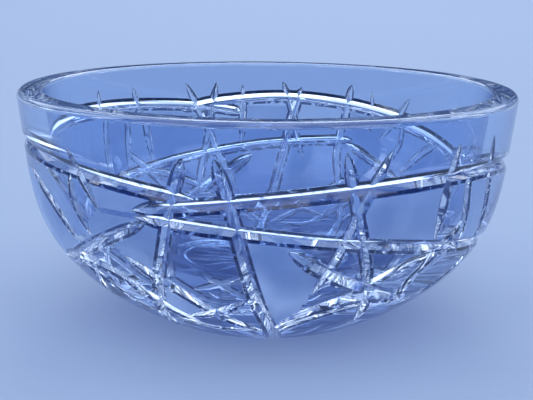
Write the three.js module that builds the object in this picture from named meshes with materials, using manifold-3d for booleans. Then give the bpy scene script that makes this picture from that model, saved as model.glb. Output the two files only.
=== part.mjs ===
// Cut crystal bowl: one thick, heavy piece of glass, open at the top, with mitre cuts
// all over its wall and a star cut under its base. Millimetres, +Z up, standing on Z = 0.
import * as THREE from 'three';
import { mergeVertices } from 'three/addons/utils/BufferGeometryUtils.js';
import Module from 'manifold-3d';

// Outside
const bowlHeight = 92;
const rimRadius = 100;
const footRadius = 46;
const wallSlope = 0.12;       // outward run of the upper wall for each millimetre of rise
const bellyHeight = 70;       // below this the wall curves in towards the foot
const bellyPower = 3.1;       // how suddenly it curves in

// Inside
const wallThickness = 10.5;   // measured level, at the rim
const floorThickness = 12;
const cupPower = 3;           // how flat the inner floor is
const cupRoot = 2.2;          // how round the turn from the inner floor to the wall is
const rimOuterRound = 2.4;
const rimInnerRound = 1.4;

// Underside
const footRingWidth = 7;
const footRecess = 1.2;       // how far the star's face is set up above the foot ring
const recessChamfer = 1.5;

// Wall cuts: V grooves ground by a wheel with a mitred edge
const plainBand = 10;         // uncut band under the rim
const mitreAngle = 108;       // included angle of the V
const wheelRadius = 50;       // sets how slowly a cut fades out to its point
const cutLift = 1.5;          // how far the cutting tool stands out of the glass
const cutStep = 8;            // spacing of the stations along a cut
const patternRepeats = 2;     // how often the repeated cuts go round the bowl

// Star cut under the base
const starRays = 20;
const starTipGap = 1.5;       // from the ray tips to the recess's edge
const starWidestShare = 0.62; // where a ray is widest, as a share of its length
const starCentreDepth = 0.5;

// Mesh
const wallSides = 60;
const wallRows = 8;
const cupRows = 8;
const rimRows = 2;
const mergeDistance = 1e-4;

// The wall pattern. Each cut runs on the outside in a smooth line through its points. A point
// is [turn, rise]: turn in degrees from the front (-Y) towards +X, and rise as a share of the
// cut part of the wall, 0 at the foot and 1 at the plain band. A cut that goes below the foot
// runs off it, and any other end fades to a point. These cuts are made once.
const singleCuts = [
  { name: 'high sweep to the left', width: 6.5,
    points: [[-13.5, 0.788], [-34, 0.835], [-56, 0.872], [-77, 0.893], [-104, 0.9],
      [-131, 0.897], [-150, 0.876], [-163, 0.85], [-173, 0.815]] },
  { name: 'high sweep to the right', width: 7,
    points: [[-28.6, 0.723], [0, 0.8], [30, 0.845], [60, 0.838], [90, 0.775], [113, 0.69]] },
  { name: 'high sweep at the back', width: 7,
    points: [[207, 0.84], [195, 0.883], [176, 0.909], [158.7, 0.891],
      [141, 0.844], [124, 0.785], [108, 0.717], [96, 0.66]] },
  { name: 'left post', width: 6,
    points: [[-16.4, 0.968], [-19.5, 0.76], [-23, 0.52], [-29, 0.275], [-42, -0.03]] },
  { name: 'back right post', width: 5.5,
    points: [[154.5, 1], [156, 0.78], [156.5, 0.54], [151, 0.275], [138, -0.03]] },
  { name: 'back right slant', width: 4.5, points: [[148, 0.97], [147.2, 0.85], [146, 0.74]] },
  { name: 'back slant', width: 5, points: [[175.6, 1], [173.4, 0.89], [171, 0.72], [168, 0.55]] },
  { name: 'back post', width: 5, points: [[187.4, 0.985], [187.5, 0.8], [188.4, 0.64]] },
];

// These cuts are made again at each repeat of the pattern.
const repeatedCuts = [
  { name: 'middle sweep to the right', width: 6.5,
    points: [[-28.2, 0.695], [-3.4, 0.654], [22.7, 0.586], [48, 0.51], [74, 0.435], [100, 0.34]] },
  { name: 'left plunge', width: 6,
    points: [[-25.2, 0.676], [-40, 0.54], [-56, 0.39], [-72, 0.244]] },
  { name: 'front post', width: 6.5,
    points: [[-10.2, 0.971], [-7, 0.75], [-4.6, 0.52], [-1.2, 0.26], [5, -0.03]] },
  { name: 'right post', width: 5.5,
    points: [[15.1, 1], [17.8, 0.78], [21, 0.56], [25, 0.35], [30, 0.14]] },
  { name: 'right slant', width: 5, points: [[24.9, 1], [19.2, 0.76], [15.3, 0.56], [10.9, 0.365]] },
  { name: 'far right post', width: 5.5, points: [[42.5, 0.995], [40.3, 0.8], [39.2, 0.565]] },
  { name: 'right edge post', width: 5, points: [[46.8, 0.87], [47.8, 0.74], [49.8, 0.52]] },
  { name: 'right rim post', width: 5, points: [[55.5, 1], [56.5, 0.85], [58, 0.65], [58, 0.48]] },
  { name: 'upper left slant', width: 5, points: [[-45.4, 0.951], [-41.8, 0.833], [-37.1, 0.694]] },
  { name: 'far left post', width: 4.5, points: [[-45.3, 0.859], [-45.4, 0.708], [-41.4, 0.56]] },
  { name: 'far left slant', width: 5.5, points: [[-66, 0.79], [-55.5, 0.67], [-47.4, 0.515]] },
  { name: 'lower right fall', width: 8, points: [[4.4, 0.581], [18, 0.42], [36, 0.26]] },
  { name: 'belt to the left', width: 7,
    points: [[-64, 0.36], [-50, 0.425], [-37, 0.38], [-28, 0.23], [-20, 0.1]] },
  { name: 'low left belt', width: 6,
    points: [[-53, 0.4], [-46.6, 0.349], [-39.5, 0.222], [-34, 0.14]] },
  { name: 'left crescent', width: 4.5,
    points: [[-44, 0.47], [-47.8, 0.36], [-52, 0.25], [-58.5, 0.14]] },
  { name: 'left side post', width: 5.5, points: [[-84, 0.85], [-84, 0.6], [-79, 0.28]] },
  { name: 'low fall to the front', width: 6,
    points: [[-32.9, 0.503], [-20, 0.329], [-10, 0.18], [-1, 0.1]] },
  { name: 'low cross', width: 5.5, points: [[-25, 0.175], [-13.5, 0.236], [-3.8, 0.333]] },
  { name: 'foot edge', width: 5.5, points: [[-29, 0.16], [-17, 0.11], [-4, 0.11]] },
  { name: 'belt to the right', width: 9, points: [[2, 0.1], [14, 0.265], [27, 0.31], [40, 0.25]] },
  { name: 'low right belt', width: 5.5, points: [[4, 0.1], [15, 0.215], [28, 0.28]] },
  { name: 'right edge belt', width: 6,
    points: [[41, 0.215], [51.5, 0.285], [57, 0.37], [61, 0.47]] },
  { name: 'low rise to the right', width: 5.5,
    points: [[20, 0.345], [34, 0.475], [48, 0.51], [60, 0.47]] },
  { name: 'steep rise', width: 5.5, points: [[36, 0.23], [38, 0.42], [49.5, 0.655]] },
];

const wasm = await Module();
wasm.setup();

const degrees = Math.PI / 180;
const up = new THREE.Vector3(0, 0, 1);

const straightWall = (height) => rimRadius - wallSlope * (bowlHeight - rimOuterRound - height);

function outerRadius(height) {
  const below = Math.max(0, bellyHeight - height) / bellyHeight;
  return straightWall(height) - (straightWall(0) - footRadius) * below ** bellyPower;
}

function innerRadius(height) {
  const below = Math.max(0, bellyHeight - height) / (bellyHeight - floorThickness);
  const cup = Math.max(0, 1 - below ** cupPower) ** (1 / cupRoot);
  return (straightWall(height) - wallThickness) * cup;
}

// Points of a quarter round from one angle to another, both in degrees
function arcPoints(centreR, centreZ, radius, fromAngle, toAngle) {
  const points = [];
  for (let i = 0; i <= rimRows; i += 1) {
    const angle = (fromAngle + (toAngle - fromAngle) * i / rimRows) * degrees;
    points.push(new THREE.Vector2(centreR + radius * Math.cos(angle), centreZ + radius * Math.sin(angle)));
  }
  return points;
}

// The section of the bare bowl, from the underside's centre round to the inner floor's centre
function bowlProfile() {
  const ringInner = footRadius - footRingWidth;
  const points = [
    new THREE.Vector2(0, footRecess),
    new THREE.Vector2(ringInner - recessChamfer, footRecess),
    new THREE.Vector2(ringInner, 0),
  ];
  for (let i = 0; i <= wallRows; i += 1) {
    const height = bellyHeight * (1 - Math.cos(Math.PI / 2 * i / wallRows));
    points.push(new THREE.Vector2(outerRadius(height), height));
  }
  const outerTurn = bowlHeight - rimOuterRound;
  const innerTurn = bowlHeight - rimInnerRound;
  points.push(...arcPoints(outerRadius(outerTurn) - rimOuterRound, outerTurn, rimOuterRound, 0, 90));
  points.push(...arcPoints(innerRadius(innerTurn) + rimInnerRound, innerTurn, rimInnerRound, 90, 180));
  for (let i = 0; i < cupRows; i += 1) {
    const turn = Math.PI / 2 * i / cupRows;
    const height = floorThickness + (bellyHeight - floorThickness) * (1 - Math.sin(turn));
    points.push(new THREE.Vector2(innerRadius(height), height));
  }
  points.push(new THREE.Vector2(0, floorThickness));
  return points;
}

// A closed geometry as a solid that can be cut
function toSolid(geometry) {
  geometry.deleteAttribute('normal');
  geometry.deleteAttribute('uv');
  const merged = mergeVertices(geometry, mergeDistance);
  const corners = [];
  for (let i = 0; i < merged.index.count; i += 3) {
    const [a, b, c] = [0, 1, 2].map((k) => merged.index.getX(i + k));
    if (a !== b && b !== c && c !== a) {
      corners.push(a, b, c);
    }
  }
  const vertProperties = new Float32Array(merged.attributes.position.array);
  return new wasm.Manifold(new wasm.Mesh({ numProp: 3, vertProperties, triVerts: new Uint32Array(corners) }));
}

function toGeometry(solid) {
  const mesh = solid.getMesh();
  const geometry = new THREE.BufferGeometry();
  geometry.setAttribute('position', new THREE.BufferAttribute(mesh.vertProperties, 3));
  geometry.setIndex(new THREE.BufferAttribute(mesh.triVerts, 1));
  geometry.computeVertexNormals();
  return geometry;
}

// A V-shaped cutting bar through stations of { point, out, depth }, where out is the
// direction away from the glass. It is a three-sided prism bent along the stations, with
// one edge as the keel of the V and the other two standing out of the glass beside it.
function cuttingBar(stations) {
  const last = stations.length - 1;
  const geometry = new THREE.CylinderGeometry(1, 1, 1, 3, last);
  const position = geometry.attributes.position;
  const [keelZ, sideZ, sideX] = [1, Math.cos(120 * degrees), Math.sin(120 * degrees)];
  for (let i = 0; i < position.count; i += 1) {
    const index = Math.round((0.5 - position.getY(i)) * last);
    const { point, out, depth } = stations[index];
    const before = stations[Math.max(0, index - 1)].point;
    const after = stations[Math.min(last, index + 1)].point;
    const across = new THREE.Vector3().subVectors(after, before).cross(out).normalize();
    const tall = depth + cutLift;
    const sideways = position.getX(i) / sideX * tall * Math.tan(mitreAngle / 2 * degrees);
    const outwards = cutLift - tall * (position.getZ(i) - sideZ) / (keelZ - sideZ);
    const corner = point.clone().addScaledVector(across, sideways).addScaledVector(out, outwards);
    position.setXYZ(i, corner.x, corner.y, corner.z);
  }
  return toSolid(geometry);
}

// Depth of a cut of this width between its edges
const depthForWidth = (width) => width / 2 / Math.tan(mitreAngle / 2 * degrees);

// A point of the outside, and the direction away from the glass there
function wallPoint(turn, rise) {
  const height = rise * (bowlHeight - plainBand);
  const radial = new THREE.Vector3(Math.sin(turn * degrees), -Math.cos(turn * degrees), 0);
  const reach = 0.5;
  const spread = (outerRadius(height + reach) - outerRadius(height - reach)) / (2 * reach);
  return {
    point: radial.clone().multiplyScalar(outerRadius(height)).addScaledVector(up, height),
    out: radial.clone().addScaledVector(up, -spread).normalize(),
  };
}

// How deep the wheel still is at a distance from the point where it leaves the glass
function fadedDepth(depth, distance) {
  const fadeLength = Math.sqrt(2 * wheelRadius * depth);
  const left = Math.max(0, 1 - distance / fadeLength);
  return depth * (1 - left * left);
}

function wallCutter(cut, turnOffset) {
  const path = new THREE.SplineCurve(cut.points.map(([turn, rise]) => new THREE.Vector2(turn, rise)));
  const place = (share) => {
    const { x: turn, y: rise } = path.getPoint(share);
    return wallPoint(turn + turnOffset, rise);
  };
  const measureSteps = 24;
  let length = 0;
  for (let i = 1; i <= measureSteps; i += 1) {
    length += place(i / measureSteps).point.distanceTo(place((i - 1) / measureSteps).point);
  }
  const steps = Math.ceil(length / cutStep);
  const depth = depthForWidth(cut.width);
  const runsOff = [cut.points[0][1] < 0, cut.points.at(-1)[1] < 0];
  const stations = [];
  for (let i = 0; i <= steps; i += 1) {
    const share = i / steps;
    const fromStart = runsOff[0] ? length : share * length;
    const fromEnd = runsOff[1] ? length : (1 - share) * length;
    stations.push({ ...place(share), depth: fadedDepth(depth, Math.min(fromStart, fromEnd)) });
  }
  return cuttingBar(stations);
}

function starCutter(ray) {
  const angle = 360 / starRays * ray * degrees;
  const direction = new THREE.Vector3(Math.sin(angle), -Math.cos(angle), 0);
  const tipRadius = footRadius - footRingWidth - recessChamfer - starTipGap;
  const widest = tipRadius * starWidestShare;
  const widestDepth = depthForWidth(2 * widest * Math.tan(180 / starRays * degrees));
  const station = (radius, depth) => ({
    point: direction.clone().multiplyScalar(radius).addScaledVector(up, footRecess),
    out: up.clone().negate(),
    depth,
  });
  return cuttingBar([station(0, starCentreDepth), station(widest, widestDepth), station(tipRadius, 0)]);
}

function buildBowl() {
  const lathe = new THREE.LatheGeometry(bowlProfile(), wallSides);
  lathe.rotateX(Math.PI / 2);
  let bowl = toSolid(lathe);
  for (const cut of singleCuts) {
    bowl = bowl.subtract(wallCutter(cut, 0));
  }
  for (let repeat = 0; repeat < patternRepeats; repeat += 1) {
    for (const cut of repeatedCuts) {
      bowl = bowl.subtract(wallCutter(cut, 360 / patternRepeats * repeat));
    }
  }
  for (let ray = 0; ray < starRays; ray += 1) {
    bowl = bowl.subtract(starCutter(ray));
  }
  return toGeometry(bowl);
}

const crystal = new THREE.MeshStandardMaterial({
  color: new THREE.Color(0.78, 0.86, 0.97),
  roughness: 0.03,
  metalness: 0,
  transparent: true,
  opacity: 0.5,
});

const bowlMesh = new THREE.Mesh(buildBowl(), crystal);
bowlMesh.name = 'bowl';

const cutCrystalBowl = new THREE.Group();
cutCrystalBowl.add(bowlMesh);

export default cutCrystalBowl;
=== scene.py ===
"""Looks of a cut crystal bowl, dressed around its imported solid.

Metres, +Z up, the bowl stands on Z = 0 and the side that the picture shows faces -Y.
"""

import logging
import math
from dataclasses import dataclass, field
from enum import IntEnum

import bmesh
import bpy
from mathutils import Matrix, Vector


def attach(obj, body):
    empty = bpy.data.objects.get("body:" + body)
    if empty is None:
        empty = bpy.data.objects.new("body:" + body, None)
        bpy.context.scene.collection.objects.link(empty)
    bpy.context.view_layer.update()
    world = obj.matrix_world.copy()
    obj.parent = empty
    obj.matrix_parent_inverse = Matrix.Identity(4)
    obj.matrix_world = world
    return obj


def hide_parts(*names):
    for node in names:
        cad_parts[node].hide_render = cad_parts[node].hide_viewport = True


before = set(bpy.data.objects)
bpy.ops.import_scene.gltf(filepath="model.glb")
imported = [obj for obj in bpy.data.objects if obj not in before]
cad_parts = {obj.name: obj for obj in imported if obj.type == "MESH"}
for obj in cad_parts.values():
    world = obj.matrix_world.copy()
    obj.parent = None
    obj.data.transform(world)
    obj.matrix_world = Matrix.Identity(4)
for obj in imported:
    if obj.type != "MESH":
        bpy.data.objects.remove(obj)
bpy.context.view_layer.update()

UP = Vector((0.0, 0.0, 1.0))
CRYSTAL_IOR = 1.545

# Sockets of a Mix node that mixes colours, whose names its other sockets share
MIX_SHARE, MIX_FIRST, MIX_SECOND, MIXED = 0, 6, 7, 2

Colour = tuple[float, float, float]
log = logging.getLogger("cut_crystal_bowl")


def opaque(colour: Colour) -> tuple[float, float, float, float]:
    """A colour as a socket takes it, with full alpha."""
    return (*colour, 1.0)


class Value:
    """One output of a node, on which Python's operators add Math nodes."""

    def __init__(self, sheet: "NodeSheet", socket: bpy.types.NodeSocket | None) -> None:
        """Keeps the sheet and the socket.

        Args:
            sheet: The sheet of nodes that the socket is on.
            socket: The output that this value stands for, or None for a node without one.
        """
        self.sheet = sheet
        self.socket = socket

    def _maths(self, operation: str, *operands: "Operand", clamp: bool = False) -> "Value":
        """Adds one Math node.

        Args:
            operation: The node's operation.
            operands: Its inputs in order.
            clamp: Whether the result is kept within 0 and 1.

        Returns:
            The node's output.
        """
        return self.sheet.add(
            "ShaderNodeMath",
            {"operation": operation, "use_clamp": clamp},
            dict(enumerate(operands)),
        )

    def __add__(self, other: "Operand") -> "Value":
        """Adds."""
        return self._maths("ADD", self, other)

    def __radd__(self, other: "Operand") -> "Value":
        """Adds, with the number on the left."""
        return self._maths("ADD", other, self)

    def __mul__(self, other: "Operand") -> "Value":
        """Multiplies."""
        return self._maths("MULTIPLY", self, other)

    def __rmul__(self, other: "Operand") -> "Value":
        """Multiplies, with the number on the left."""
        return self._maths("MULTIPLY", other, self)

    def clamped(self) -> "Value":
        """Keeps the value within 0 and 1."""
        return self._maths("ADD", self, 0.0, clamp=True)

    def cosine(self) -> "Value":
        """The cosine of the value as an angle in radians."""
        return self._maths("COSINE", self)

    def arctan2(self, other: "Operand") -> "Value":
        """The angle in radians whose tangent is this value over the other."""
        return self._maths("ARCTAN2", self, other)

    def step(self, low: float, high: float) -> "Value":
        """A smooth step.

        Args:
            low: Where the step starts, at 0.
            high: Where it ends, at 1.

        Returns:
            The step.
        """
        return self.sheet.add(
            "ShaderNodeMapRange",
            {"interpolation_type": "SMOOTHSTEP"},
            {"Value": self, "From Min": low, "From Max": high, "To Min": 0.0, "To Max": 1.0},
        )


Operand = Value | float
ColourLike = Value | Colour


class NodeSheet:
    """The nodes of one material or world."""

    def __init__(self, owner: bpy.types.Material | bpy.types.World) -> None:
        """Turns the owner's nodes on and empties them.

        Args:
            owner: The material or world whose nodes this sheet fills.
        """
        owner.use_nodes = True
        self.tree = owner.node_tree
        self.tree.nodes.clear()

    def add(
        self,
        kind: str,
        settings: dict | None = None,
        inputs: dict | None = None,
        output: int | str = 0,
    ) -> Value:
        """Adds a node.

        Args:
            kind: The node's type.
            settings: Properties that are set first, and "stops" for a ramp.
            inputs: Values or links by the socket's name or number.
            output: The output to return.

        Returns:
            The chosen output, or the node's first one.
        """
        node = self.tree.nodes.new(kind)
        for name, setting in (settings or {}).items():
            if name == "stops":
                self._set_stops(node.color_ramp, setting)
            else:
                setattr(node, name, setting)
        for name, given in (inputs or {}).items():
            if isinstance(given, Value):
                self.tree.links.new(given.socket, node.inputs[name])
            else:
                node.inputs[name].default_value = given
        return Value(self, node.outputs[output] if node.outputs else None)

    @staticmethod
    def _set_stops(ramp: bpy.types.ColorRamp, stops: tuple[tuple[float, Colour], ...]) -> None:
        """Sets a ramp's stops.

        Args:
            ramp: The ramp.
            stops: Place and colour of each.
        """
        while len(ramp.elements) < len(stops):
            ramp.elements.new(1.0)
        for element, (place, colour) in zip(ramp.elements, stops):
            element.position = place
            element.color = opaque(colour)

    def mix_colour(self, share: Operand, first: ColourLike, second: ColourLike) -> Value:
        """Mixes two colours.

        Args:
            share: How much of the second.
            first: Colour at a share of 0.
            second: Colour at a share of 1.

        Returns:
            The mixed colour.
        """
        pair = [c if isinstance(c, Value) else opaque(c) for c in (first, second)]
        inputs = {MIX_SHARE: share, MIX_FIRST: pair[0], MIX_SECOND: pair[1]}
        return self.add("ShaderNodeMix", {"data_type": "RGBA"}, inputs, MIXED)

    def mix_shaders(self, share: Operand, first: Value, second: Value) -> Value:
        """Mixes two shaders, with this share of the second."""
        return self.add("ShaderNodeMixShader", inputs={0: share, 1: first, 2: second})

    def noise(self, scale: float, detail: float = 2.0) -> Value:
        """Adds a noise over the piece's own coordinates.

        Args:
            scale: How many patches to a metre.
            detail: How many finer layers it has.

        Returns:
            The noise, about 0 to 1.
        """
        return self.add(
            "ShaderNodeTexNoise",
            {"noise_dimensions": "3D"},
            {"Vector": self.place(), "Scale": scale, "Detail": detail},
        )

    def place(self) -> Value:
        """The piece's own coordinates in metres."""
        return self.add("ShaderNodeTexCoord", output="Object")

    def coordinate(self, vector: Value, axis: str) -> Value:
        """One coordinate of a vector, X, Y or Z."""
        return self.add("ShaderNodeSeparateXYZ", inputs={"Vector": vector}, output=axis)

    def relief(self, height: Value, reach: float, strength: float = 1.0) -> Value:
        """Turns a height over the surface into a slope of it.

        Args:
            height: The height, 0 to 1.
            reach: What a height of 1 stands for, in metres.
            strength: How much of the slope shows.

        Returns:
            The sloped normal.
        """
        return self.add(
            "ShaderNodeBump", inputs={"Strength": strength, "Distance": reach, "Height": height}
        )

    def lit_through(self, glass: Value, tint: Colour) -> None:
        """Ends the material in glass that lets the lamps' light through to what lies behind.

        Args:
            glass: The shader of the glass.
            tint: Share of the light that each surface lets through.
        """
        shadow = self.add("ShaderNodeLightPath", output="Is Shadow Ray")
        passing = self.add("ShaderNodeBsdfTransparent", inputs={"Color": opaque(tint)})
        whole = self.mix_shaders(shadow, glass, passing)
        self.add("ShaderNodeOutputMaterial", inputs={"Surface": whole})


class Facet(IntEnum):
    """Kinds of glass surface, in the order of the bowl's material slots.

    CUT is the deep part of a mitre cut and the star. The shoulder kind is the outer strips of its
    flanks, whose finish is painted dark as shade.
    """

    CLEAR = 0
    CUT = 1
    PAINTED_SHADE_SHOULDER = 2
    SATIN = 3
    FOOT = 4
    RIM = 5


@dataclass(frozen=True)
class ClearCrystal:
    """Smooth polished crystal, with the slight waves of hand-finished glass.

    Seen edge on, the tint deepens to a dark edge of painted shade. Where they are given, it turns
    in patches to a tint of painted reflection, and to a painted shade darker towards the foot,
    between its two given heights.
    """

    name: str = "polished_crystal"
    tint: Colour = (0.54, 0.67, 0.90)
    shadow_tint: Colour = (0.50, 0.58, 0.74)
    wave_scale: float = 55.0
    wave_height: float = 0.00002
    smear_scale: float = 160.0
    smear_start: float = 0.45
    smear_full: float = 0.75
    smoothest: float = 0.0
    roughest: float = 0.02
    # Painted shade: a dark tint where the glass is seen edge on, in place of dark surroundings that
    # it would refract
    painted_edge_shade_tint: Colour = (0.05, 0.09, 0.27)
    painted_edge_shade_start: float = 0.56
    # Painted reflection: patches of another tint, standing in for reflections in the cuts
    painted_reflection_tint: Colour | None = None
    painted_reflection_scale: float = 330.0
    painted_reflection_start: float = 0.55
    painted_reflection_full: float = 0.63
    # Painted shade: the lower glass darkens towards the foot between two heights
    painted_low_shade_tint: Colour | None = None
    painted_low_shade_start: float = 0.058
    painted_low_shade_full: float = 0.018

    def make(self) -> bpy.types.Material:
        """Makes the material.

        Returns:
            The finished material.
        """
        material = bpy.data.materials.new(self.name)
        sheet = NodeSheet(material)
        smear = sheet.noise(self.smear_scale, detail=3.0).step(self.smear_start, self.smear_full)
        glass = sheet.add(
            "ShaderNodeBsdfPrincipled",
            inputs={
                "Base Color": self._colour(sheet),
                "Roughness": self.smoothest + (self.roughest - self.smoothest) * smear,
                "IOR": CRYSTAL_IOR,
                "Transmission Weight": 1.0,
                "Normal": sheet.relief(sheet.noise(self.wave_scale, detail=1.0), self.wave_height),
            },
        )
        sheet.lit_through(glass, self.shadow_tint)
        return material

    def _colour(self, sheet: NodeSheet) -> Value:
        """The glass's colour over its surface, with its painted shade and painted reflections.

        Args:
            sheet: The material's nodes.

        Returns:
            The colour.
        """
        tint = self.tint
        if self.painted_reflection_tint:
            # Patches of painted reflection
            painted_reflection = sheet.noise(self.painted_reflection_scale).step(self.painted_reflection_start, self.painted_reflection_full)
            tint = sheet.mix_colour(painted_reflection, tint, self.painted_reflection_tint)
        if self.painted_low_shade_tint:
            # Painted shade, darker towards the foot
            low = sheet.coordinate(sheet.place(), "Z").step(self.painted_low_shade_start, self.painted_low_shade_full)
            tint = sheet.mix_colour(low, tint, self.painted_low_shade_tint)
        # Painted shade: the tint darkens where the glass is seen edge on
        facing = sheet.add("ShaderNodeLayerWeight", inputs={"Blend": 0.5}, output="Facing")
        return sheet.mix_colour(facing.step(self.painted_edge_shade_start, 1.0), tint, self.painted_edge_shade_tint)


@dataclass(frozen=True)
class SatinCrystal:
    """Matt panel of the wall, with a fine even grain and a cloudy body colour."""

    name: str = "satin_crystal"
    tint: Colour = (0.58, 0.74, 1.0)
    shadow_tint: Colour = (0.48, 0.56, 0.70)
    body: Colour = (0.19, 0.31, 0.60)
    pale_body: Colour = (0.33, 0.46, 0.74)
    body_share: float = 0.45
    grain_scale: float = 5200.0
    grain_height: float = 0.000012
    grain_strength: float = 0.6
    cloud_scale: float = 70.0
    cloud_start: float = 0.35
    cloud_full: float = 0.68
    smoothest: float = 0.42
    roughest: float = 0.55

    def make(self) -> bpy.types.Material:
        """Makes the material.

        Returns:
            The finished material.
        """
        material = bpy.data.materials.new(self.name)
        sheet = NodeSheet(material)
        cloud = sheet.noise(self.cloud_scale, detail=3.0)
        pale = cloud.step(self.cloud_start, self.cloud_full)
        grain = sheet.noise(self.grain_scale)
        normal = sheet.relief(grain, self.grain_height, self.grain_strength)
        glass = sheet.add(
            "ShaderNodeBsdfPrincipled",
            inputs={
                "Base Color": opaque(self.tint),
                "Roughness": self.smoothest + (self.roughest - self.smoothest) * cloud,
                "IOR": CRYSTAL_IOR,
                "Transmission Weight": 1.0,
                "Normal": normal,
            },
        )
        haze = sheet.add(
            "ShaderNodeBsdfPrincipled",
            inputs={
                "Base Color": sheet.mix_colour(pale, self.body, self.pale_body),
                "Roughness": self.roughest,
                "IOR": CRYSTAL_IOR,
                "Normal": normal,
            },
        )
        sheet.lit_through(sheet.mix_shaders(self.body_share, glass, haze), self.shadow_tint)
        return material


# The waves that the wheel leaves are closer and shallower than those of the wall
WHEEL_WAVES = {"wave_scale": 120.0, "wave_height": 0.00001}

FINISHES: dict[Facet, ClearCrystal | SatinCrystal] = {
    # The wall, with painted shade darker towards the foot
    Facet.CLEAR: ClearCrystal(painted_low_shade_tint=(0.20, 0.30, 0.58)),
    # Lighter than the wall so that the cuts read bright, a painted highlight, with dark patches of
    # painted reflection
    Facet.CUT: ClearCrystal(
        "cut_painted_bright_crystal",
        tint=(0.80, 0.88, 1.0),
        painted_reflection_tint=(0.07, 0.12, 0.32),
        painted_reflection_scale=210.0,
        painted_reflection_start=0.52,
        painted_reflection_full=0.68,
        **WHEEL_WAVES,
    ),
    # Near black along the flanks' outer strips, painted shade, with pale patches of painted
    # reflection
    Facet.PAINTED_SHADE_SHOULDER: ClearCrystal(
        "cut_shoulder_painted_shade_crystal",
        tint=(0.014, 0.026, 0.085),
        painted_reflection_tint=(0.60, 0.72, 0.96),
        **WHEEL_WAVES,
    ),
    Facet.SATIN: SatinCrystal(),
    Facet.FOOT: ClearCrystal("foot_ring_crystal", roughest=0.22),
    # Lighter and darkened less edge on than the wall, a painted highlight along the rim
    Facet.RIM: ClearCrystal("rim_painted_bright_crystal", tint=(0.78, 0.89, 1.0), painted_edge_shade_start=0.74),
}


@dataclass(frozen=True)
class BowlShape:
    """Sizes of the bare bowl in metres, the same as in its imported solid.

    belly_power is how late the outside turns in towards the foot, and cup_power and cup_root how
    squarely the inside turns from wall to floor.
    """

    height: float = 0.092
    rim_radius: float = 0.100
    foot_radius: float = 0.046
    wall_slope: float = 0.12
    belly_height: float = 0.070
    belly_power: float = 3.1
    wall_thickness: float = 0.0105
    floor_thickness: float = 0.012
    cup_power: float = 3.0
    cup_root: float = 2.2
    rim_outer_round: float = 0.0024
    rim_inner_round: float = 0.0014
    ring_width: float = 0.007
    recess: float = 0.0012
    recess_chamfer: float = 0.0015
    plain_band: float = 0.010
    wall_rows: int = 56
    cup_rows: int = 44
    rim_rows: int = 8

    def straight_wall(self, height: float) -> float:
        """Radius of the upper wall's line at a height."""
        return self.rim_radius - self.wall_slope * (self.height - self.rim_outer_round - height)

    def outer_radius(self, height: float) -> float:
        """Radius of the bare outside.

        Args:
            height: The height, from the foot up.

        Returns:
            The radius, drawn in below belly_height.
        """
        below = max(0.0, self.belly_height - height) / self.belly_height
        drawn_in = self.straight_wall(0.0) - self.foot_radius
        return self.straight_wall(height) - drawn_in * below**self.belly_power

    def inner_radius(self, height: float) -> float:
        """Radius of the inside.

        Args:
            height: The height, from the inner floor up.

        Returns:
            The radius, rounded off to nothing on the inner floor.
        """
        below = max(0.0, self.belly_height - height) / (self.belly_height - self.floor_thickness)
        cup = max(0.0, 1.0 - below**self.cup_power) ** (1.0 / self.cup_root)
        return (self.straight_wall(height) - self.wall_thickness) * cup

    def wall_place(self, turn: float, rise: float) -> tuple[Vector, Vector]:
        """A point of the outside.

        Args:
            turn: Degrees from the front towards +X.
            rise: Share of the cut part of the wall, 0 at the foot.

        Returns:
            The point, and the direction away from the glass there.
        """
        height = rise * (self.height - self.plain_band)
        angle = math.radians(turn)
        radial = Vector((math.sin(angle), -math.cos(angle), 0.0))
        reach = 0.0005
        spread = self.outer_radius(height + reach) - self.outer_radius(height - reach)
        out = (radial - UP * (spread / (2.0 * reach))).normalized()
        return radial * self.outer_radius(height) + UP * height, out

    def _round(
        self, centre: tuple[float, float], radius: float, start: float
    ) -> list[tuple[float, float]]:
        """A quarter round of the rim's section, anticlockwise.

        Args:
            centre: Its centre as radius and height.
            radius: Its own radius.
            start: The angle at which it starts, in degrees.

        Returns:
            Its points as radius and height.
        """
        turns = [math.radians(start + 90.0 * i / self.rim_rows) for i in range(self.rim_rows + 1)]
        return [
            (centre[0] + radius * math.cos(t), centre[1] + radius * math.sin(t)) for t in turns
        ]

    def section(self) -> tuple[list[tuple[float, float]], int, int]:
        """The bare bowl's section, from the underside's centre round to the inner floor's.

        Returns:
            Its points as radius and height, and the first and last row of the outer wall.
        """
        ring_inner = self.foot_radius - self.ring_width
        points = [
            (0.0, self.recess),
            (ring_inner - self.recess_chamfer, self.recess),
            (ring_inner, 0.0),
        ]
        first = len(points)
        for i in range(self.wall_rows + 1):
            height = self.belly_height * (1.0 - math.cos(math.pi / 2.0 * i / self.wall_rows))
            points.append((self.outer_radius(height), height))
        last = len(points) - 1
        outer_turn = self.height - self.rim_outer_round
        inner_turn = self.height - self.rim_inner_round
        outer_centre = (self.outer_radius(outer_turn) - self.rim_outer_round, outer_turn)
        inner_centre = (self.inner_radius(inner_turn) + self.rim_inner_round, inner_turn)
        points += self._round(outer_centre, self.rim_outer_round, 0.0)
        points += self._round(inner_centre, self.rim_inner_round, 90.0)
        for i in range(self.cup_rows):
            drop = 1.0 - math.sin(math.pi / 2.0 * i / self.cup_rows)
            height = self.floor_thickness + (self.belly_height - self.floor_thickness) * drop
            points.append((self.inner_radius(height), height))
        points.append((0.0, self.floor_thickness))
        return points, first, last


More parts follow.
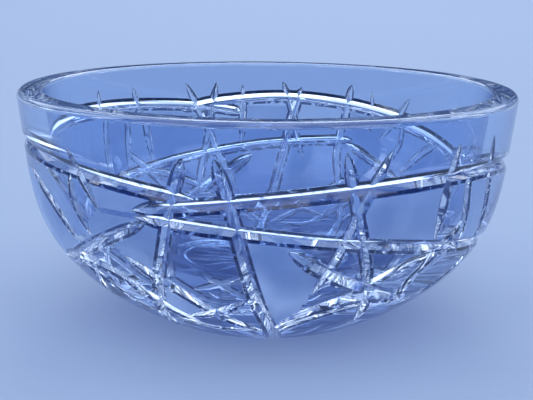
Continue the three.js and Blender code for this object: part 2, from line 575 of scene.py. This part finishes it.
@dataclass(frozen=True)
class WallCut:
    """One mitre cut of the wall, in a smooth line through its points of turn and rise."""

    name: str
    width: float
    points: tuple[tuple[float, float], ...]

    def place(self, share: float) -> tuple[float, float]:
        """Turn and rise on the line.

        Args:
            share: Share of the cut's run, 0 at its first point.

        Returns:
            The place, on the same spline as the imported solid's cut.
        """
        last = len(self.points) - 1
        knot = min(int(share * last), last - 1)
        along = share * last - knot
        near = [self.points[min(max(knot + i, 0), last)] for i in (-1, 0, 1, 2)]
        return tuple(self._blend(along, [point[k] for point in near]) for k in (0, 1))

    @staticmethod
    def _blend(along: float, values: list[float]) -> float:
        """A smooth value between the middle two of four.

        Args:
            along: Share of the way between them.
            values: The four values.

        Returns:
            The value, whose slope at a point is that between its neighbours.
        """
        before, start, end, after = values
        leave, arrive = (end - before) / 2.0, (after - start) / 2.0
        cubic = 2.0 * (start - end) + leave + arrive
        square = 3.0 * (end - start) - 2.0 * leave - arrive
        return ((cubic * along + square) * along + leave) * along + start


SINGLE_CUTS = (
    WallCut(
        "high sweep to the left", 0.0065,
        (
            (-13.5, 0.788), (-34, 0.835), (-56, 0.872), (-77, 0.893), (-104, 0.9),
            (-131, 0.897), (-150, 0.876), (-163, 0.85), (-173, 0.815),
        ),
    ),
    WallCut(
        "high sweep to the right", 0.0070,
        ((-28.6, 0.723), (0, 0.8), (30, 0.845), (60, 0.838), (90, 0.775), (113, 0.69)),
    ),
    WallCut(
        "high sweep at the back", 0.0070,
        (
            (207, 0.84), (195, 0.883), (176, 0.909), (158.7, 0.891),
            (141, 0.844), (124, 0.785), (108, 0.717), (96, 0.66),
        ),
    ),
    WallCut(
        "left post", 0.0060,
        ((-16.4, 0.968), (-19.5, 0.76), (-23, 0.52), (-29, 0.275), (-42, -0.03)),
    ),
    WallCut(
        "back right post", 0.0055,
        ((154.5, 1), (156, 0.78), (156.5, 0.54), (151, 0.275), (138, -0.03)),
    ),
    WallCut("back right slant", 0.0045, ((148, 0.97), (147.2, 0.85), (146, 0.74))),
    WallCut("back slant", 0.0050, ((175.6, 1), (173.4, 0.89), (171, 0.72), (168, 0.55))),
    WallCut("back post", 0.0050, ((187.4, 0.985), (187.5, 0.8), (188.4, 0.64))),
)

REPEATED_CUTS = (
    WallCut(
        "middle sweep to the right", 0.0065,
        ((-28.2, 0.695), (-3.4, 0.654), (22.7, 0.586), (48, 0.51), (74, 0.435), (100, 0.34)),
    ),
    WallCut("left plunge", 0.0060, ((-25.2, 0.676), (-40, 0.54), (-56, 0.39), (-72, 0.244))),
    WallCut(
        "front post", 0.0065,
        ((-10.2, 0.971), (-7, 0.75), (-4.6, 0.52), (-1.2, 0.26), (5, -0.03)),
    ),
    WallCut("right post", 0.0055, ((15.1, 1), (17.8, 0.78), (21, 0.56), (25, 0.35), (30, 0.14))),
    WallCut("right slant", 0.0050, ((24.9, 1), (19.2, 0.76), (15.3, 0.56), (10.9, 0.365))),
    WallCut("far right post", 0.0055, ((42.5, 0.995), (40.3, 0.8), (39.2, 0.565))),
    WallCut("right edge post", 0.0050, ((46.8, 0.87), (47.8, 0.74), (49.8, 0.52))),
    WallCut("right rim post", 0.0050, ((55.5, 1), (56.5, 0.85), (58, 0.65), (58, 0.48))),
    WallCut("upper left slant", 0.0050, ((-45.4, 0.951), (-41.8, 0.833), (-37.1, 0.694))),
    WallCut("far left post", 0.0045, ((-45.3, 0.859), (-45.4, 0.708), (-41.4, 0.56))),
    WallCut("far left slant", 0.0055, ((-66, 0.79), (-55.5, 0.67), (-47.4, 0.515))),
    WallCut("lower right fall", 0.0080, ((4.4, 0.581), (18, 0.42), (36, 0.26))),
    WallCut(
        "belt to the left", 0.0070,
        ((-64, 0.36), (-50, 0.425), (-37, 0.38), (-28, 0.23), (-20, 0.1)),
    ),
    WallCut("low left belt", 0.0060, ((-53, 0.4), (-46.6, 0.349), (-39.5, 0.222), (-34, 0.14))),
    WallCut("left crescent", 0.0045, ((-44, 0.47), (-47.8, 0.36), (-52, 0.25), (-58.5, 0.14))),
    WallCut("left side post", 0.0055, ((-84, 0.85), (-84, 0.6), (-79, 0.28))),
    WallCut(
        "low fall to the front", 0.0060,
        ((-32.9, 0.503), (-20, 0.329), (-10, 0.18), (-1, 0.1)),
    ),
    WallCut("low cross", 0.0055, ((-25, 0.175), (-13.5, 0.236), (-3.8, 0.333))),
    WallCut("foot edge", 0.0055, ((-29, 0.16), (-17, 0.11), (-4, 0.11))),
    WallCut("belt to the right", 0.0090, ((2, 0.1), (14, 0.265), (27, 0.31), (40, 0.25))),
    WallCut("low right belt", 0.0055, ((4, 0.1), (15, 0.215), (28, 0.28))),
    WallCut("right edge belt", 0.0060, ((41, 0.215), (51.5, 0.285), (57, 0.37), (61, 0.47))),
    WallCut("low rise to the right", 0.0055, ((20, 0.345), (34, 0.475), (48, 0.51), (60, 0.47))),
    WallCut("steep rise", 0.0055, ((36, 0.23), (38, 0.42), (49.5, 0.655))),
)


@dataclass(frozen=True)
class SatinPanel:
    """One matt panel between cuts, whose corners of turn and rise lie in the cuts round it."""

    name: str
    corners: tuple[tuple[float, float], ...]

    def holds(self, turn: float, rise: float) -> bool:
        """Whether a place of the wall lies inside the outline.

        Args:
            turn: Degrees from the front.
            rise: Share of the cut part of the wall.

        Returns:
            True inside it.
        """
        inside = False
        following = self.corners[1:] + self.corners[:1]
        for (turn_a, rise_a), (turn_b, rise_b) in zip(self.corners, following):
            if (rise_a > rise) != (rise_b > rise):
                crossing = turn_a + (turn_b - turn_a) * (rise - rise_a) / (rise_b - rise_a)
                inside ^= turn < crossing
        return inside


SINGLE_PANELS = (
    SatinPanel("left panel", ((-42.5, 0.87), (-22, 0.8), (-24, 0.7), (-38, 0.7))),
    SatinPanel(
        "lower left panel",
        ((-24, 0.68), (-20.5, 0.62), (-24.5, 0.42), (-33, 0.5), (-37, 0.575)),
    ),
    SatinPanel(
        "right panel",
        ((21, 0.83), (41, 0.84), (40, 0.77), (39.2, 0.56), (20.5, 0.6), (17.8, 0.7)),
    ),
    SatinPanel(
        "far left panel",
        (
            (-66, 0.79), (-55.5, 0.67), (-47.4, 0.515), (-46.5, 0.47),
            (-56, 0.39), (-62, 0.35), (-81, 0.4), (-84, 0.8),
        ),
    ),
    SatinPanel(
        "back panel",
        (
            (187.4, 0.899), (174, 0.908), (172.3, 0.83), (173, 0.75),
            (174, 0.66), (188.4, 0.624), (187.5, 0.8),
        ),
    ),
    SatinPanel(
        "back right panel",
        ((138.3, 0.836), (147, 0.862), (155.6, 0.884), (156, 0.78), (156.2, 0.69), (143, 0.695)),
    ),
    SatinPanel(
        "lower back right panel",
        ((154.8, 0.676), (156.4, 0.62), (156.3, 0.54), (154.6, 0.41), (147, 0.5), (143, 0.575)),
    ),
    SatinPanel(
        "back left panel",
        (
            (201.2, 0.858), (210, 0.876), (220.8, 0.889), (220.2, 0.78),
            (219.2, 0.56), (200.5, 0.6), (198.8, 0.7),
        ),
    ),
    SatinPanel(
        "right side panel",
        (
            (117, 0.755), (124.5, 0.67), (132.6, 0.515), (133.5, 0.47), (124, 0.39),
            (118, 0.35), (99.6, 0.4), (96.3, 0.62), (108, 0.717),
        ),
    ),
)

REPEATED_PANELS = (
    SatinPanel("left panel foot", ((-38.5, 0.7), (-25.5, 0.69), (-46, 0.5))),
    SatinPanel(
        "front panel",
        (
            (-5.5, 0.66), (4, 0.63), (5.5, 0.575), (13, 0.5),
            (13.2, 0.47), (9.5, 0.3), (9, 0.19), (2.5, 0.09),
        ),
    ),
    SatinPanel(
        "far right panel",
        ((47.2, 0.83), (47.8, 0.74), (49.8, 0.505), (58, 0.485), (58, 0.65), (56.6, 0.83)),
    ),
    SatinPanel("low left panel", ((-26.3, 0.4), (-13.4, 0.24), (-25, 0.175), (-29.5, 0.22))),
)


@dataclass(frozen=True)
class Station:
    """Where a cutting bar passes: a point of the glass, the way out of it, and the depth."""

    point: Vector
    out: Vector
    depth: float


@dataclass
class CuttingWheel:
    """The mitred wheel that grinds the cuts. Its angles are in degrees.

    Each of flank_bends is a bend in a flank: its share of the way across from keel to shoulder,
    and its share of the depth. They give a flank three facets, steepest at the keel, that catch
    the light by turns. The outermost is the shoulder facet, whose near-black finish is painted
    shade. A cut as deep as full_depth has its keel and arrises blunted in full, and a shallower
    one less.
    """

    mitre: float = 108.0
    radius: float = 0.050
    lift: float = 0.0015
    step: float = 0.0018
    keel_width: float = 0.00022
    arris_depth: float = 0.00011
    arris_slope: float = 70.0
    flank_bends: tuple[tuple[float, float], ...] = ((0.26, 0.60), (0.60, 0.25))
    full_depth: float = 0.0009
    least_blunting: float = 0.02
    lip_height: float = 0.0004
    half_slope: float = field(init=False)

    def __post_init__(self) -> None:
        """Works out the sideways run of a flank for each metre of depth."""
        self.half_slope = math.tan(math.radians(self.mitre / 2.0))

    def depth_for_width(self, width: float) -> float:
        """Depth of a plain V of this width between its edges."""
        return width / 2.0 / self.half_slope

    def faded(self, depth: float, distance: float) -> float:
        """Depth at a distance from where the wheel leaves the glass."""
        left = max(0.0, 1.0 - distance / math.sqrt(2.0 * self.radius * depth))
        return depth * (1.0 - left * left)

    def section(self, plain_depth: float, soft: bool) -> list[tuple[float, float]]:
        """The bar's section, as sideways and outwards from the surface of the glass.

        Args:
            plain_depth: Depth of a plain V of the same width here.
            soft: Whether keel and edges are slightly blunted, as polishing leaves them.

        Returns:
            The section's corners, anticlockwise seen along the cut.
        """
        blunting = max(self.least_blunting, min(1.0, plain_depth / self.full_depth) if soft else 0.0)
        keel = self.keel_width / 2.0 * blunting
        arris = self.arris_depth * blunting
        flare = math.tan(math.radians(self.arris_slope))
        half = plain_depth * self.half_slope
        depth = max(arris, arris + (half - keel - arris * flare) / self.half_slope)
        shoulder = keel + (depth - arris) * self.half_slope
        lip = shoulder + (arris + self.lip_height) * flare
        bends = [
            (keel + (shoulder - keel) * across, -arris - (depth - arris) * down)
            for across, down in self.flank_bends
        ]
        edge = [(shoulder, -arris), (lip, self.lip_height), (lip, self.lift)]
        right = [(keel, -depth), *bends, *edge]
        return right + [(-x, y) for x, y in reversed(right)]

    def bar(self, stations: list[Station], soft: bool = True) -> bmesh.types.BMesh:
        """A cutting bar bent along stations.

        Args:
            stations: Where it passes, in order.
            soft: Whether keel and edges are slightly blunted.

        Returns:
            The closed bar.
        """
        bar = bmesh.new()
        rings = []
        last = len(stations) - 1
        for i, station in enumerate(stations):
            before, after = stations[max(0, i - 1)].point, stations[min(last, i + 1)].point
            across = (after - before).cross(station.out).normalized()
            rings.append([
                bar.verts.new(station.point + across * x + station.out * y)
                for x, y in self.section(station.depth, soft)
            ])
        count = len(rings[0])
        shoulder = len(self.flank_bends)
        painted_shade_strips = (shoulder, count - 2 - shoulder)
        for ring, following in zip(rings, rings[1:]):
            for k in range(count):
                n = (k + 1) % count
                face = bar.faces.new((ring[k], ring[n], following[n], following[k]))
                # Shoulder strips take the near-black finish of painted shade, the rest the lighter
                # cut finish
                face.material_index = Facet.PAINTED_SHADE_SHOULDER if soft and k in painted_shade_strips else Facet.CUT
        bar.faces.new(rings[0][::-1])
        bar.faces.new(rings[-1])
        bmesh.ops.recalc_face_normals(bar, faces=bar.faces)
        return bar


@dataclass
class StarCut:
    """The star of long pointed cuts under the base."""

    rays: int = 20
    tip_gap: float = 0.0015
    widest_share: float = 0.62
    centre_depth: float = 0.0005

    def stations(self, ray: int, shape: BowlShape, wheel: CuttingWheel) -> list[Station]:
        """Stations of one ray.

        Args:
            ray: Its number.
            shape: The bowl that it is cut in.
            wheel: The wheel that cuts it.

        Returns:
            The stations from the centre to the tip.
        """
        angle = 2.0 * math.pi * ray / self.rays
        direction = Vector((math.sin(angle), -math.cos(angle), 0.0))
        tip = shape.foot_radius - shape.ring_width - shape.recess_chamfer - self.tip_gap
        widest = tip * self.widest_share
        deepest = wheel.depth_for_width(2.0 * widest * math.tan(math.pi / self.rays))
        knots = ((0.0, self.centre_depth), (widest, deepest), (tip, 0.0))
        return [Station(direction * r + UP * shape.recess, -UP, depth) for r, depth in knots]


@dataclass
class Bowl:
    """The one piece of crystal, with its cuts, star and satin panels.

    The single panels' turns are counted from panels_from, in degrees, through one whole turn.
    """

    shape: BowlShape = field(default_factory=BowlShape)
    wheel: CuttingWheel = field(default_factory=CuttingWheel)
    star: StarCut = field(default_factory=StarCut)
    sides: int = 320
    repeats: int = 2
    panels_from: float = -90.0
    length_samples: int = 24
    shortest_edge: float = 0.000002
    sharp_angle: float = 12.0
    name: str = "bowl_crystal"

    def build(self) -> bpy.types.Object:
        """Turns the bare bowl, marks its panels and makes its cuts.

        Returns:
            The finished object, not yet dressed.
        """
        bowl = self._object(self.name, self._blank())
        bars = self._wall_bars() + self._star_bars()
        tools = [self._object(f"tool_{i}", bar) for i, bar in enumerate(bars)]
        self._cut(bowl, tools)
        self._sharpen(bowl.data)
        kinds = [face.material_index for face in bowl.data.polygons]
        shares = ", ".join(f"{kinds.count(facet)} {facet.name.lower()}" for facet in Facet)
        log.info("%s: %d faces, %s", bowl.name, len(kinds), shares)
        log.info("wall cuts: %s", ", ".join(cut.name for cut in SINGLE_CUTS + REPEATED_CUTS))
        panels = SINGLE_PANELS + REPEATED_PANELS
        log.info("satin panels: %s", ", ".join(panel.name for panel in panels))
        return bowl

    def dress(self, bowl: bpy.types.Object) -> None:
        """Gives the bowl its finishes, hangs it on the root body and hides the imported bowl.

        Args:
            bowl: The object that build made.
        """
        for facet in Facet:
            bowl.data.materials[facet] = FINISHES[facet].make()
        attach(bowl, "root")
        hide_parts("bowl")

    def _blank(self) -> bmesh.types.BMesh:
        """Turns the bare bowl and gives each of its faces its kind of surface.

        Returns:
            Its closed mesh.
        """
        points, first, last = self.shape.section()
        rim_end = last + 2 * (self.shape.rim_rows + 1)
        blank = bmesh.new()
        rings = []
        for radius, height in points:
            if radius == 0.0:
                rings.append([blank.verts.new((0.0, 0.0, height))] * self.sides)
                continue
            turns = [2.0 * math.pi * i / self.sides for i in range(self.sides)]
            rings.append([
                blank.verts.new((radius * math.sin(t), -radius * math.cos(t), height))
                for t in turns
            ])
        for row, (ring, following) in enumerate(zip(rings, rings[1:])):
            for k in range(self.sides):
                n = (k + 1) % self.sides
                corners = (ring[k], ring[n], following[n], following[k])
                # A ring on the axis is one vertex, so the faces there are triangles
                face = blank.faces.new(tuple(dict.fromkeys(corners)))
                if row == first - 1:
                    face.material_index = Facet.FOOT
                elif first <= row < last and self._is_satin(face.calc_center_median()):
                    face.material_index = Facet.SATIN
                elif last < row < rim_end:
                    face.material_index = Facet.RIM
        bmesh.ops.recalc_face_normals(blank, faces=blank.faces)
        return blank

    def _is_satin(self, place: Vector) -> bool:
        """Whether a point of the outer wall lies in a satin panel.

        Args:
            place: The point.

        Returns:
            True in a panel.
        """
        turn = math.degrees(math.atan2(place.x, -place.y))
        rise = place.z / (self.shape.height - self.shape.plain_band)
        whole_turn = (turn - self.panels_from) % 360.0 + self.panels_from
        if any(panel.holds(whole_turn, rise) for panel in SINGLE_PANELS):
            return True
        repeat = 360.0 / self.repeats
        nearest = (turn + repeat / 2.0) % repeat - repeat / 2.0
        return any(panel.holds(nearest, rise) for panel in REPEATED_PANELS)

    def _wall_bars(self) -> list[bmesh.types.BMesh]:
        """Cutting bars of the wall's pattern.

        Returns:
            The single cuts' bars, then those of each repeat.
        """
        turned = [(cut, 0.0) for cut in SINGLE_CUTS]
        for repeat in range(self.repeats):
            turned += [(cut, 360.0 / self.repeats * repeat) for cut in REPEATED_CUTS]
        return [self.wheel.bar(self._wall_stations(cut, offset)) for cut, offset in turned]

    def _wall_stations(self, cut: WallCut, offset: float) -> list[Station]:
        """Stations of one wall cut.

        Args:
            cut: The cut.
            offset: Degrees by which this repeat is turned.

        Returns:
            The stations from its first point to its last.
        """
        def place(share: float) -> tuple[Vector, Vector]:
            """Point and way out at a share of the run."""
            turn, rise = cut.place(share)
            return self.shape.wall_place(turn + offset, rise)

        count = self.length_samples
        samples = [place(i / count)[0] for i in range(count + 1)]
        length = sum((b - a).length for a, b in zip(samples, samples[1:]))
        steps = math.ceil(length / self.wheel.step)
        depth = self.wheel.depth_for_width(cut.width)
        runs_off = [cut.points[0][1] < 0.0, cut.points[-1][1] < 0.0]
        stations = []
        for i in range(steps + 1):
            share = i / steps
            from_start = length if runs_off[0] else share * length
            from_end = length if runs_off[1] else (1.0 - share) * length
            faded = self.wheel.faded(depth, min(from_start, from_end))
            stations.append(Station(*place(share), faded))
        return stations

    def _star_bars(self) -> list[bmesh.types.BMesh]:
        """Cutting bars of the star.

        Returns:
            One for each ray, with plain sharp edges.
        """
        return [
            self.wheel.bar(self.star.stations(ray, self.shape, self.wheel), soft=False)
            for ray in range(self.star.rays)
        ]

    @staticmethod
    def _object(name: str, shape: bmesh.types.BMesh) -> bpy.types.Object:
        """Makes an object of a bmesh, with one slot for each kind of surface.

        Args:
            name: The object's name.
            shape: The mesh, freed here.

        Returns:
            The object, linked to the scene.
        """
        mesh = bpy.data.meshes.new(name)
        shape.to_mesh(mesh)
        shape.free()
        for _ in Facet:
            mesh.materials.append(None)
        thing = bpy.data.objects.new(name, mesh)
        bpy.context.scene.collection.objects.link(thing)
        return thing

    @staticmethod
    def _cut(bowl: bpy.types.Object, tools: list[bpy.types.Object]) -> None:
        """Takes the tools' room out of the bowl.

        Args:
            bowl: The bare bowl, whose mesh is replaced.
            tools: The cutting bars, removed here.
        """
        for tool in tools:
            modifier = bowl.modifiers.new(tool.name, "BOOLEAN")
            modifier.operation = "DIFFERENCE"
            modifier.solver = "MANIFOLD"
            modifier.object = tool
        bpy.context.view_layer.update()
        shaped = bowl.evaluated_get(bpy.context.evaluated_depsgraph_get())
        mesh = bpy.data.meshes.new_from_object(shaped)
        bowl.modifiers.clear()
        bowl.data = mesh
        for tool in tools:
            bpy.data.objects.remove(tool)

    def _sharpen(self, mesh: bpy.types.Mesh) -> None:
        """Drops the shortest edges and shades the glass smooth, with crisp edges at angles.

        Args:
            mesh: The cut bowl's mesh.
        """
        shape = bmesh.new()
        shape.from_mesh(mesh)
        bmesh.ops.dissolve_degenerate(shape, dist=self.shortest_edge, edges=shape.edges)
        limit = math.radians(self.sharp_angle)
        for face in shape.faces:
            face.smooth = True
        for edge in shape.edges:
            edge.smooth = edge.is_manifold and edge.calc_face_angle(0.0) < limit
        shape.to_mesh(mesh)
        shape.free()


@dataclass(frozen=True)
class Lamp:
    """A soft rectangular studio lamp that looks at the bowl."""

    name: str
    place: tuple[float, float, float]
    size: tuple[float, float]
    power: float

    def build(self, target: Vector) -> None:
        """Makes the lamp.

        Args:
            target: The point that it looks at.
        """
        data = bpy.data.lights.new(self.name, "AREA")
        data.shape = "RECTANGLE"
        data.size, data.size_y = self.size
        data.energy = self.power
        lamp = bpy.data.objects.new(self.name, data)
        lamp.location = self.place
        lamp.rotation_euler = (target - lamp.location).to_track_quat("-Z", "Y").to_euler()
        bpy.context.scene.collection.objects.link(lamp)


@dataclass
class Studio:
    """Pale floor, soft lamps, surrounding light and the camera.

    The sky's places run from 0, straight down, through 0.5 at the horizon to 1, straight up.
    The soft boxes' sizes and the camera's angles are in degrees.
    """

    floor_radius: float = 9.0
    floor_sides: int = 96
    floor_drop: float = 0.0002
    floor_colour: Colour = (0.32, 0.405, 0.57)
    floor_roughness: float = 0.75
    floor_shine: float = 0.2
    floor_glow: float = 0.25
    lamp_target: tuple[float, float, float] = (0.0, 0.0, 0.04)
    lamps: tuple[Lamp, ...] = (
        Lamp("back_softbox", (0.3, 3.2, 2.2), (1.9, 0.9), 16.0),
        Lamp("top_softbox", (0.3, 0.2, 3.6), (1.0, 1.0), 5.0),
        Lamp("left_strip", (-3.2, -0.6, 1.6), (0.35, 1.8), 9.0),
        Lamp("right_strip", (3.0, 1.0, 1.5), (0.35, 1.8), 9.0),
    )
    sky: tuple[tuple[float, Colour], ...] = (
        (0.0, (0.40, 0.50, 0.68)),
        (0.505, (0.45, 0.55, 0.74)),
        (0.525, (0.06, 0.10, 0.22)),
        (0.560, (0.02, 0.04, 0.11)),
        (0.850, (0.02, 0.04, 0.11)),
        (0.920, (0.95, 1.08, 1.30)),
        (1.0, (1.20, 1.34, 1.58)),
    )
    sky_strength: float = 1.0
    soft_boxes: int = 8
    soft_box_colour: Colour = (1.7, 1.9, 2.2)
    soft_box_low: float = 17.0
    soft_box_high: float = 56.0
    soft_box_half_width: float = 15.0
    soft_box_edge: float = 1.5
    light_bounces: int = 28
    camera_place: tuple[float, float, float] = (-0.000538, -0.450, 0.1462)
    camera_lens: float = 74.85
    camera_nearest: float = 0.01
    camera_pitch: float = 12.782
    camera_yaw: float = 0.066
    camera_roll: float = 0.636

    def build(self) -> None:
        """Makes the floor, the lamps, the world and the camera."""
        self._floor()
        for lamp in self.lamps:
            lamp.build(Vector(self.lamp_target))
        self._world()
        self._camera()
        scene = bpy.context.scene
        scene.view_settings.view_transform = "Standard"
        for limit in ("max", "glossy", "transmission", "transparent_max"):
            setattr(scene.cycles, f"{limit}_bounces", self.light_bounces)
        log.info("studio: floor, %d lamps, world and camera", len(self.lamps))

    def _floor(self) -> None:
        """Makes the pale floor, a hair below the bowl's foot ring.

        It glows a little as the camera sees it, straight, in a gloss or through glass, and lights
        nothing by that.
        """
        shape = bmesh.new()
        bmesh.ops.create_circle(
            shape, cap_ends=True, radius=self.floor_radius, segments=self.floor_sides
        )
        mesh = bpy.data.meshes.new("studio_floor")
        shape.to_mesh(mesh)
        shape.free()
        floor = bpy.data.objects.new("studio_floor", mesh)
        floor.location.z = -self.floor_drop
        bpy.context.scene.collection.objects.link(floor)
        material = bpy.data.materials.new("studio_floor")
        sheet = NodeSheet(material)
        board = sheet.add(
            "ShaderNodeBsdfPrincipled",
            inputs={
                "Base Color": opaque(self.floor_colour),
                "Roughness": self.floor_roughness,
                "Specular IOR Level": self.floor_shine,
            },
        )
        glow = sheet.add("ShaderNodeEmission", inputs={"Color": opaque(self.floor_colour)})
        rays = [
            sheet.add("ShaderNodeLightPath", output=f"Is {kind} Ray")
            for kind in ("Camera", "Glossy", "Transmission")
        ]
        seen = (rays[0] + rays[1] + rays[2]).clamped() * self.floor_glow
        whole = sheet.mix_shaders(seen, board, glow)
        sheet.add("ShaderNodeOutputMaterial", inputs={"Surface": whole})
        mesh.materials.append(material)

    def _world(self) -> None:
        """Makes the surrounding light.

        It is pale below the horizon and straight above, and dark between, where the ring of
        soft boxes stands.
        """
        world = bpy.data.worlds.new("studio_light")
        sheet = NodeSheet(world)
        way = sheet.add("ShaderNodeTexCoord", output="Generated")
        level = 0.5 + 0.5 * sheet.coordinate(way, "Z")
        sky = sheet.add("ShaderNodeValToRGB", {"stops": self.sky}, {"Fac": level})
        colour = sheet.mix_colour(self._soft_boxes(sheet, way), sky, self.soft_box_colour)
        light = sheet.add(
            "ShaderNodeBackground", inputs={"Color": colour, "Strength": self.sky_strength}
        )
        sheet.add("ShaderNodeOutputWorld", inputs={"Surface": light})
        bpy.context.scene.world = world

    def _soft_boxes(self, sheet: NodeSheet, way: Value) -> Value:
        """The ring of soft boxes round the bowl, one at each crest of a wave round the horizon.

        Args:
            sheet: The world's nodes.
            way: The direction looked in.

        Returns:
            1 inside a box, 0 outside.
        """
        across, along, height = (sheet.coordinate(way, axis) for axis in "XYZ")
        wave = (across.arctan2(along) * self.soft_boxes).cosine()

        def sine(angle: float) -> float:
            """Height of a direction at an angle above the horizon."""
            return math.sin(math.radians(angle))

        def crest(angle: float) -> float:
            """Height of the wave at an angle from a box's middle."""
            return math.cos(math.radians(angle) * self.soft_boxes)

        edge, half = self.soft_box_edge, self.soft_box_half_width
        inside = wave.step(crest(half + edge), crest(half - edge))
        above = height.step(sine(self.soft_box_low - edge), sine(self.soft_box_low + edge))
        below = height.step(sine(self.soft_box_high + edge), sine(self.soft_box_high - edge))
        return inside * above * below

    def _camera(self) -> None:
        """Makes the camera at the picture's place and angle."""
        pitch, yaw, roll = (
            math.radians(a) for a in (self.camera_pitch, self.camera_yaw, self.camera_roll)
        )
        ahead = Vector((
            math.sin(yaw) * math.cos(pitch), math.cos(yaw) * math.cos(pitch), -math.sin(pitch)
        ))
        right = Vector((math.cos(yaw), -math.sin(yaw), 0.0))
        above = right.cross(ahead)
        side = right * math.cos(roll) + above * math.sin(roll)
        top = above * math.cos(roll) - right * math.sin(roll)
        data = bpy.data.cameras.new("studio_camera")
        data.lens = self.camera_lens
        data.clip_start = self.camera_nearest
        camera = bpy.data.objects.new("studio_camera", data)
        turned = Matrix((side, top, -ahead)).transposed().to_4x4()
        camera.matrix_world = Matrix.Translation(self.camera_place) @ turned
        bpy.context.scene.collection.objects.link(camera)
        bpy.context.scene.camera = camera


def main() -> None:
    """Builds the studio and the bowl."""
    logging.basicConfig(level=logging.INFO, format="%(name)s: %(message)s")
    Studio().build()
    bowl = Bowl()
    piece = bowl.build()
    bowl.dress(piece)
    log.info("%s rides on root and stands for the node bowl", piece.name)


if __name__ == "__main__":
    main()
